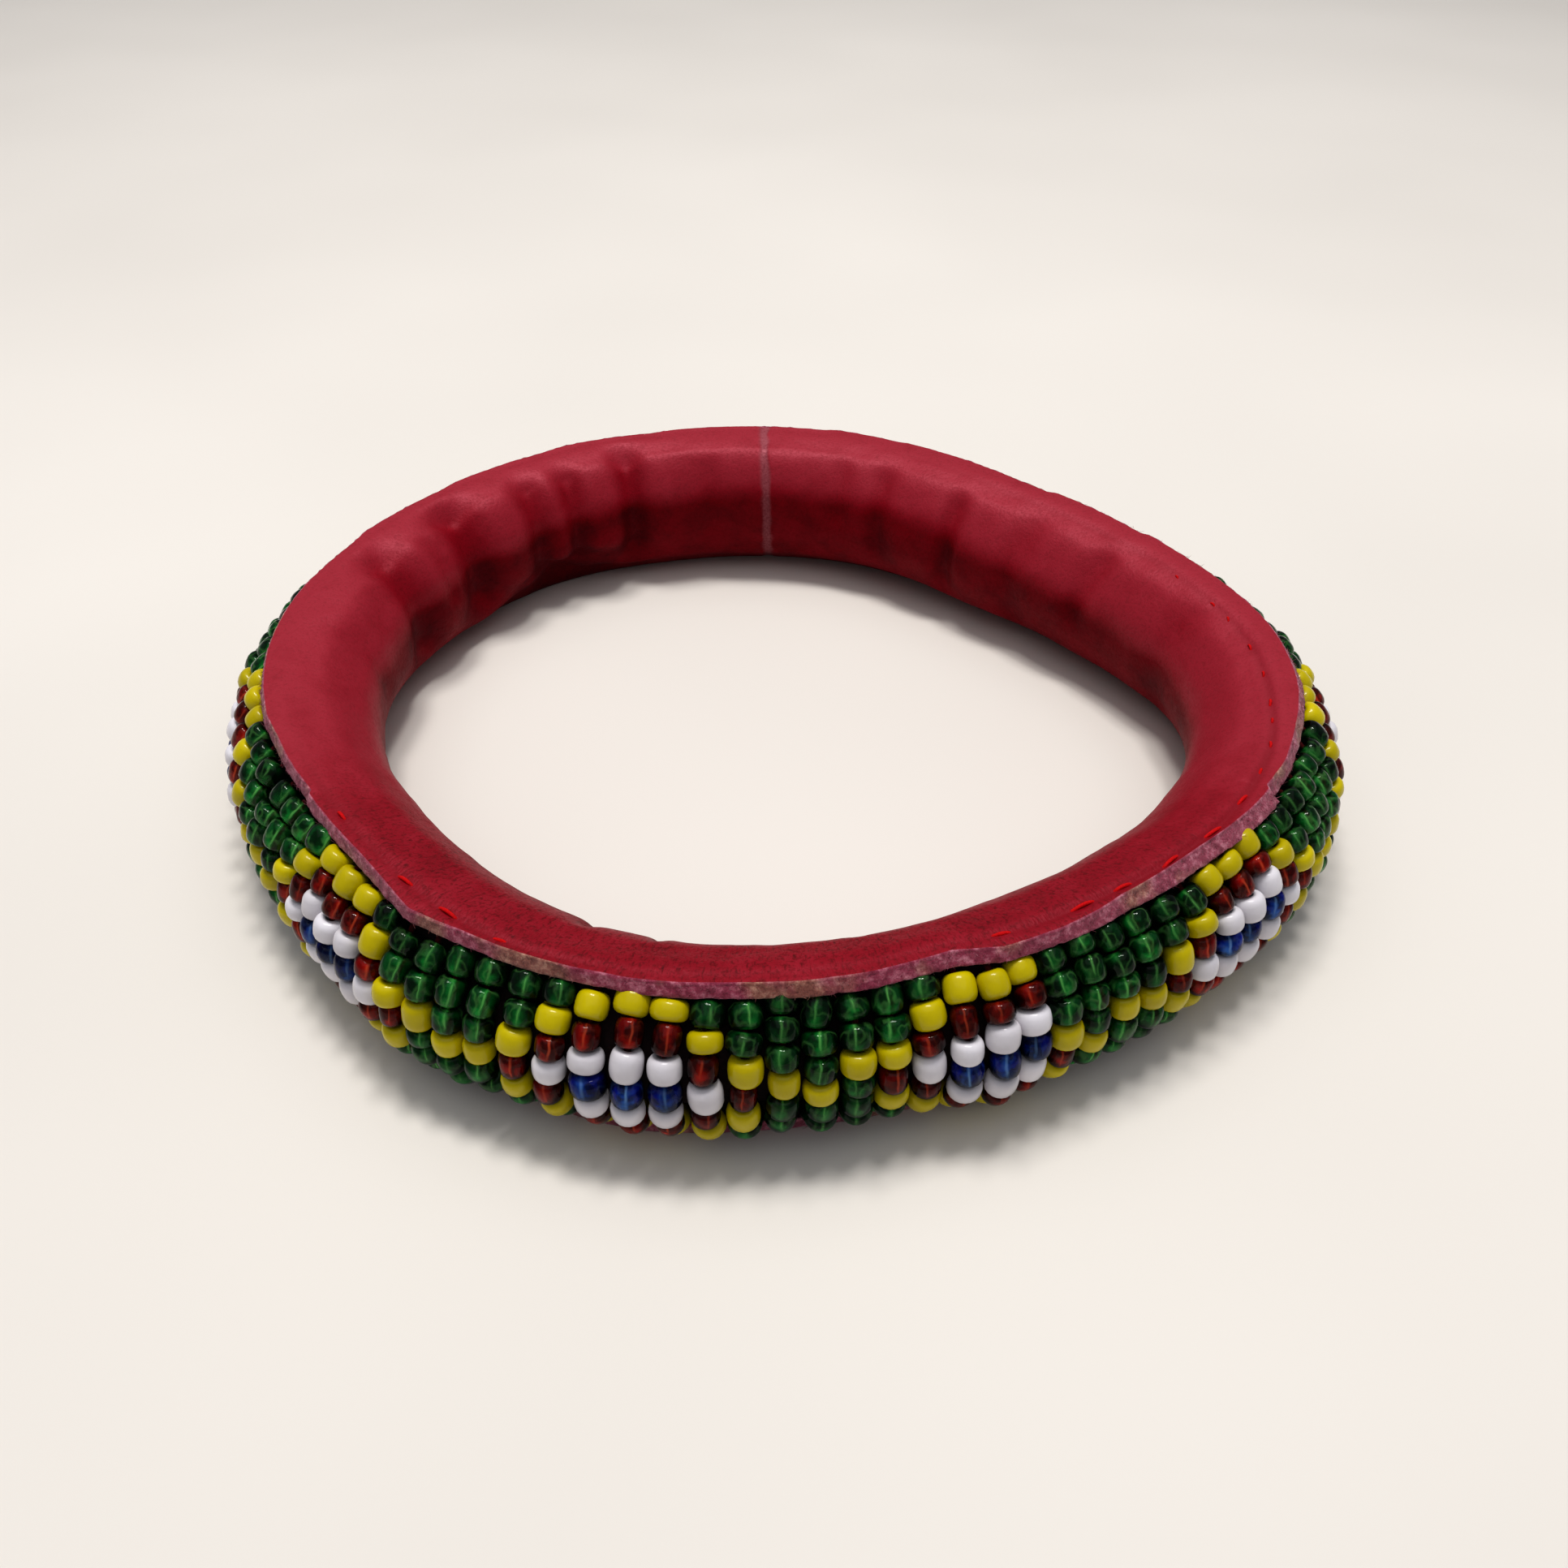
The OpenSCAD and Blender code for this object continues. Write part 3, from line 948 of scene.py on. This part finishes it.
class Look:
    """A new material, with its shader, the place on the object in millimetres, and its nodes."""

    def __init__(self, name):
        self.material = bpy.data.materials.new(name)
        self.material.use_nodes = True
        self.tree = self.material.node_tree
        self.shader = self.tree.nodes["Principled BSDF"]
        metres = self.add("TexCoord").outputs["Object"]
        self.place = self.vector("MULTIPLY", metres, (1 / MM, 1 / MM, 1 / MM))

    def feed(self, node, inputs):
        """Links or sets a node's inputs, which are named, or numbered after an underscore."""
        for key, value in inputs.items():
            number = key[1:]
            socket = node.inputs[int(number) if number.isdigit() else key.replace("_", " ")]
            if isinstance(value, bpy.types.NodeSocket):
                self.tree.links.new(value, socket)
            else:
                socket.default_value = value

    def add(self, kind, options=None, **inputs):
        """A node."""
        made = self.tree.nodes.new("ShaderNode" + kind)
        for key, value in (options or {}).items():
            setattr(made, key, value)
        self.feed(made, inputs)
        return made

    def shade(self, **inputs):
        """Gives the shader its inputs."""
        self.feed(self.shader, inputs)

    def carried(self, name, output="Fac"):
        """A value that the mesh carries."""
        return self.add("Attribute", {"attribute_name": name}).outputs[output]

    def noise(self, scale, detail, roughness=0.5, place=None, output="Fac"):
        """Soft noise, on the object or at another place."""
        at = self.place if place is None else place
        made = self.add("TexNoise", Vector=at, Scale=scale, Detail=detail, Roughness=roughness)
        return made.outputs[output]

    def math(self, operation, *values, kind="Math"):
        """A grey value worked out from others, or a place where kind is VectorMath."""
        inputs = {f"_{k}": value for k, value in enumerate(values)}
        return self.add(kind, {"operation": operation}, **inputs).outputs[0]

    def vector(self, operation, *values):
        """A place worked out from others."""
        return self.math(operation, *values, kind="VectorMath")

    def ramp(self, source, *stops):
        """A colour or grey value that follows source through stops: place, and eye colour or value."""
        made = self.add("ValToRGB", Fac=source)
        band = made.color_ramp
        while len(band.elements) < len(stops):
            band.elements.new(0.5)
        for element, (place, colour) in zip(band.elements, stops):
            element.position = place
            element.color = srgb(*colour) if isinstance(colour, tuple) else (colour, colour, colour, 1)
        return made.outputs["Color"]

    def mix(self, share, under, over, blend="MIX"):
        """One colour over another."""
        options = {"data_type": "RGBA", "blend_type": blend}
        return self.add("Mix", options, _0=share, _6=under, _7=over).outputs[2]

    def bump(self, height, distance, strength, below=None):
        """The shader's bump, on top of another one; distance is in millimetres."""
        inputs = {} if below is None else {"Normal": below}
        made = self.add("Bump", Height=height, Distance=distance * MM, Strength=strength, **inputs)
        self.shade(Normal=made.outputs["Normal"])
        return made.outputs["Normal"]


WHITE = (255, 255, 255)


def leather_material():
    """Crimson leather: mottled dye, pores and short scratches, pale seam; painted light on the crest,
    painted shade on the wall, in the folds and in the stitch groove.
    """
    look = Look("leather")
    flat = look.add("UVMap", {"uv_map": "skin"}).outputs["UV"]
    stretched = look.vector("MULTIPLY", flat, (3.6, 1.1, 1.0))
    mottle = look.noise(0.3, 5.0, 0.65)
    pores = look.noise(3.2, 3.0, 0.7)
    scratches = look.noise(1.0, 3.0, 0.6, stretched)
    ridged = {"noise_type": "RIDGED_MULTIFRACTAL", "normalize": True}
    crease = look.add("TexNoise", ridged, Vector=look.place, Scale=0.5, Detail=5.0).outputs["Fac"]
    painted_light_and_shade, worn, groove, seam = (look.carried(name) for name in ("painted_light_and_shade", "worn", "groove", "seam"))

    # Dye mottle, with painted light on the paler crest and painted shade on the deep red wall and in the
    # folds
    mottle_and_painted_light = look.math("MULTIPLY_ADD", mottle, 0.8, look.math("MULTIPLY", painted_light_and_shade, 0.6))
    reds = [(0.14, (82, 0, 11)), (0.4, (114, 2, 18)), (0.7, (133, 7, 27)), (1.0, (146, 27, 43))]
    body = look.ramp(mottle_and_painted_light, *reds)
    speck = look.ramp(pores, (0.34, (180, 90, 100)), (0.5, WHITE))
    hatch = look.ramp(scratches, (0.32, (186, 104, 116)), (0.46, WHITE))
    spotted = look.mix(look.ramp(worn, (0.0, 0.35), (1.0, 0.9)), body, speck, "MULTIPLY")
    scratched = look.mix(worn, spotted, hatch, "MULTIPLY")
    # Painted shade: the colour is darker in the stitch groove
    grooved = look.mix(groove, scratched, srgb(122, 8, 24))
    seam_colour = look.ramp(pores, (0.3, (112, 52, 60)), (0.7, (150, 92, 98)))
    seam_share = look.ramp(seam, (0.1, 0.0), (0.9, 0.7))

    look.shade(
        Base_Color=look.mix(seam_share, grooved, seam_colour),
        Roughness=look.ramp(pores, (0.3, 0.62), (0.7, 0.46)),
        Specular_IOR_Level=look.add("MapRange", Value=painted_light_and_shade, To_Min=0.12, To_Max=0.8).outputs["Result"],
        Specular_Tint=(1.0, 0.34, 0.42, 1),
    )
    creased = look.bump(crease, 0.05, 0.9)
    pored = look.bump(pores, 0.05, 0.9, creased)
    look.bump(look.math("MULTIPLY", scratches, worn), 0.1, 0.9, pored)
    return look.material


def raw_edge_material():
    """The cut edge: fibrous mauve suede with pink and tan patches."""
    look = Look("raw_edge")
    cloud = look.noise(1.5, 5.0, 0.7)
    patch = look.noise(0.22, 3.0)
    fibre = look.noise(7.0, 4.0, 0.8)
    mauve = look.ramp(cloud, (0.32, (118, 28, 54)), (0.5, (160, 62, 88)), (0.68, (212, 134, 152)))
    tan = look.ramp(cloud, (0.32, (108, 54, 50)), (0.5, (156, 98, 86)), (0.7, (206, 158, 138)))
    patched = look.mix(look.ramp(patch, (0.5, 0.0), (0.62, 1.0)), mauve, tan)
    flecks = look.ramp(fibre, (0.35, 0.72), (0.6, 1.0))
    colour = look.mix(0.8, patched, flecks, "MULTIPLY")
    look.shade(Base_Color=colour, Roughness=0.95, Specular_IOR_Level=0.15, Sheen_Weight=0.3)
    look.bump(fibre, 0.1, 1.0, look.bump(cloud, 0.15, 1.0))
    return look.material


def flesh_material():
    """The leather's rough inner side under the beads, coloured near black as painted shade behind them."""
    look = Look("flesh_side")
    nap = look.noise(3.0, 4.0, 0.7)
    look.shade(Base_Color=look.ramp(nap, (0.3, (20, 5, 8)), (0.7, (44, 14, 18))), Roughness=0.95)
    look.bump(nap, 0.1, 0.8)
    return look.material


def glass_body(look, deep, bright):
    """Colour of a bead's glass, which its random tone with painted shade in front and a soft cloud vary,
    and its slight unevenness.
    """
    cloud = look.noise(0.9, 2.0)
    both = look.math("MULTIPLY_ADD", cloud, 0.5, look.carried("tint"))
    look.bump(look.noise(1.3, 1.0), 0.05, 0.5)
    return look.ramp(both, (0.2, deep), (1.1, bright))


# Colours of the see-through beads: deep, bright, dark core, painted glow, painted lit streak
GREEN_GLASS = [(2, 25, 13), (14, 116, 48), (58, 22, 15), (48, 220, 92), (160, 255, 140)]
RED_GLASS = [(86, 3, 2), (156, 7, 5), (56, 5, 4), (255, 44, 20), (255, 110, 70)]
BLUE_GLASS = [(2, 14, 112), (6, 40, 184), (6, 22, 100), (60, 150, 255), (150, 200, 255)]
# Painted shade at the beads' edges
GLASS_RIM_SHADE = srgb(6, 10, 8)
GLASS_GLOOM = srgb(105, 105, 105)


def glass_material(name, colours, painted_vein_light, clearness):
    """See-through bead glass: dark core beside the hole, painted light of a thin lit streak and veins in a
    soft glow and a low pool, painted shade at the rim.
    """
    deep, bright = colours[:2]
    core, glow, lit = (srgb(*colour) for colour in colours[2:])
    look = Look(name)
    body = glass_body(look, deep, bright)
    tint = look.carried("tint")

    bent = look.noise(0.8, 1.0, output="Color")
    centred = look.vector("SUBTRACT", bent, (0.5, 0.5, 0.5))
    moved = look.vector("MULTIPLY_ADD", centred, (0.35, 0.0, 1.6), look.carried("bead", "Vector"))
    parts = look.add("SeparateXYZ", Vector=moved).outputs
    aside, towards, height = parts["X"], parts["Y"], parts["Z"]
    off = look.math("ABSOLUTE", aside)
    off_middle = look.math("ABSOLUTE", height)

    # Painted shade at the rim, and painted light: a thin lit streak, a soft glow round it and a pool low
    # down
    rim = look.ramp(towards, (0.3, 0.9), (0.8, 0.0))
    facing = look.ramp(towards, (0.2, 0.0), (0.55, 1.0))
    core_band = look.ramp(aside, (0.05, 0.0), (0.16, 0.7), (0.26, 0.7), (0.42, 0.0))
    core_share = look.math("MULTIPLY", core_band, look.ramp(tint, (0.35, 0.15), (0.6, 1.0)))
    streak = look.ramp(off, (0.0, 1.0), (0.03, 0.8), (0.12, 0.0))
    streak = look.math("MULTIPLY", streak, look.ramp(off_middle, (0.35, 0.8), (0.9, 0.15)))
    low = look.add("MapRange", Value=height, From_Min=-0.8, From_Max=0.1, To_Min=1.0, To_Max=0.0)
    light_pool = look.math("MULTIPLY", look.ramp(off, (0.15, 1.0), (0.6, 0.0)), low.outputs["Result"])
    halo = look.ramp(off, (0.05, 0.5), (0.4, 0.0))

    # Painted highlights: lit veins that wander through the glass
    drawn = look.vector("MULTIPLY", look.place, (1.0, 1.0, 0.45))
    light_veins = look.noise(0.85, 1.5, place=drawn)
    light_vein_share = look.ramp(light_veins, (0.44, 0.0), (0.49, painted_vein_light), (0.51, painted_vein_light), (0.56, 0.0))
    gloom = look.ramp(look.noise(0.8, 2.0, 0.6), (0.42, 0.9), (0.58, 0.0))

    brightness = look.ramp(tint, (0.0, 0.35), (0.7, 1.0))
    soft = look.math("MULTIPLY", look.math("MAXIMUM", light_pool, halo), brightness)
    lines = look.math("MULTIPLY", look.math("MAXIMUM", streak, light_vein_share), facing)
    glowing = look.mix(look.math("MULTIPLY", soft, facing), body, glow)
    gloomy = look.mix(gloom, glowing, GLASS_GLOOM, "MULTIPLY")
    edged = look.mix(rim, look.mix(core_share, gloomy, core), GLASS_RIM_SHADE)
    look.shade(
        Base_Color=look.mix(look.math("MULTIPLY", lines, brightness), edged, lit),
        Roughness=0.03,
        IOR=1.25,
        Specular_IOR_Level=0.6,
        Transmission_Weight=clearness,
    )
    return look.material


def opaque_glass_material(name, deep, bright):
    """Glossy bead glass that light doesn't go through."""
    look = Look(name)
    look.shade(Base_Color=glass_body(look, deep, bright), Roughness=0.2, Specular_IOR_Level=0.3)
    return look.material


def thread_material(name, deep, bright):
    """Twisted thread."""
    look = Look(name)
    strands = look.noise(9.0, 3.0)
    colour = look.ramp(strands, (0.3, deep), (0.7, bright))
    look.shade(Base_Color=colour, Roughness=0.8, Specular_IOR_Level=0.15)
    look.bump(strands, 0.05, 1.0)
    return look.material


def floor_material():
    """Pale, faintly clouded floor."""
    look = Look("floor")
    cloud = look.noise(0.01, 2.0)
    colour = look.ramp(cloud, (0.3, (218, 212, 205)), (0.7, (225, 219, 212)))
    look.shade(Base_Color=colour, Roughness=0.8)
    return look.material


# Surroundings

FLOOR_REACH = 4.0
WORLD_COLOUR = (0.92, 0.95, 1.0, 1)
WORLD_STRENGTH = 0.27

# Square soft lamps that face the bangle: name, place, size, power, colour
LAMPS = [
    ("key", (-0.07, 0.1, 0.6), 0.13, 1.32, (1.0, 0.98, 0.95)),
    ("second", (0.07, 0.05, 0.6), 0.1, 1.05, (1.0, 0.99, 0.97)),
    ("overhead", (0, -0.05, 0.7), 1.1, 1.75, (0.97, 0.98, 1.0)),
]

# The photograph's point of view, in millimetres, and its lens
CAMERA_PLACE = (-0.8, -103.8, 86.0)
CAMERA_TARGET = (0.7, -4.2, 1.45)
LENS = 31.98
CLIP_START = 0.01


def floor():
    """Pale floor that the bangle lies on."""
    mesh = bpy.data.meshes.new("floor")
    corners = [(-1, -1), (1, -1), (1, 1), (-1, 1)]
    mesh.from_pydata([(x * FLOOR_REACH, y * FLOOR_REACH, 0) for x, y in corners], [], [(0, 1, 2, 3)])
    mesh.materials.append(floor_material())
    piece = added("floor", mesh)


def aimed(name, data, place, target):
    """A lamp or camera at a place, facing its target."""
    made = added(name, data)
    made.location = place
    made.rotation_euler = (target - place).to_track_quat("-Z", "Y").to_euler()
    return made


def studio():
    """World light and lamps."""
    world = bpy.data.worlds.new("studio")
    bpy.context.scene.world = world
    world.use_nodes = True
    shade = world.node_tree.nodes["Background"]
    shade.inputs["Color"].default_value = WORLD_COLOUR
    shade.inputs["Strength"].default_value = WORLD_STRENGTH
    for name, place, size, power, colour in LAMPS:
        light = bpy.data.lights.new(name, "AREA")
        light.size = size
        light.energy = power
        light.color = colour
        aimed(name, light, Vector(place), Vector((0, 0, 0)))
    view = bpy.context.scene.view_settings
    view.view_transform = "Standard"
    view.look = "Medium High Contrast"


def camera():
    """The photograph's point of view."""
    data = bpy.data.cameras.new("camera")
    data.lens = LENS
    data.clip_start = CLIP_START
    place, target = Vector(CAMERA_PLACE) * MM, Vector(CAMERA_TARGET) * MM
    bpy.context.scene.camera = aimed("camera", data, place, target)


camera()
studio()
floor()

raw_edge = raw_edge_material()
leather_piece(leather_material(), raw_edge, flesh_material())

yellow_glass = opaque_glass_material("yellow_glass", (174, 158, 0), (200, 183, 0))
white_glass = opaque_glass_material("white_glass", (206, 201, 206), (226, 222, 228))
bead_pieces(
    {
        "G": ("green_beads", glass_material("green_glass", GREEN_GLASS, 0.24, 0.62), "green_glass"),
        "R": ("red_beads", glass_material("red_glass", RED_GLASS, 0.1, 0.5), "red_glass"),
        "B": ("blue_beads", glass_material("blue_glass", BLUE_GLASS, 0.1, 0.45), "blue_glass"),
        "Y": ("yellow_beads", yellow_glass, "yellow_glass"),
        "W": ("white_beads", white_glass, "white_glass"),
    }
)
bead_threads(thread_material("dark_thread", (40, 4, 8), (90, 12, 16)))
stitches(thread_material("red_thread", (168, 4, 10), (206, 14, 20)))
edge_fuzz(raw_edge)
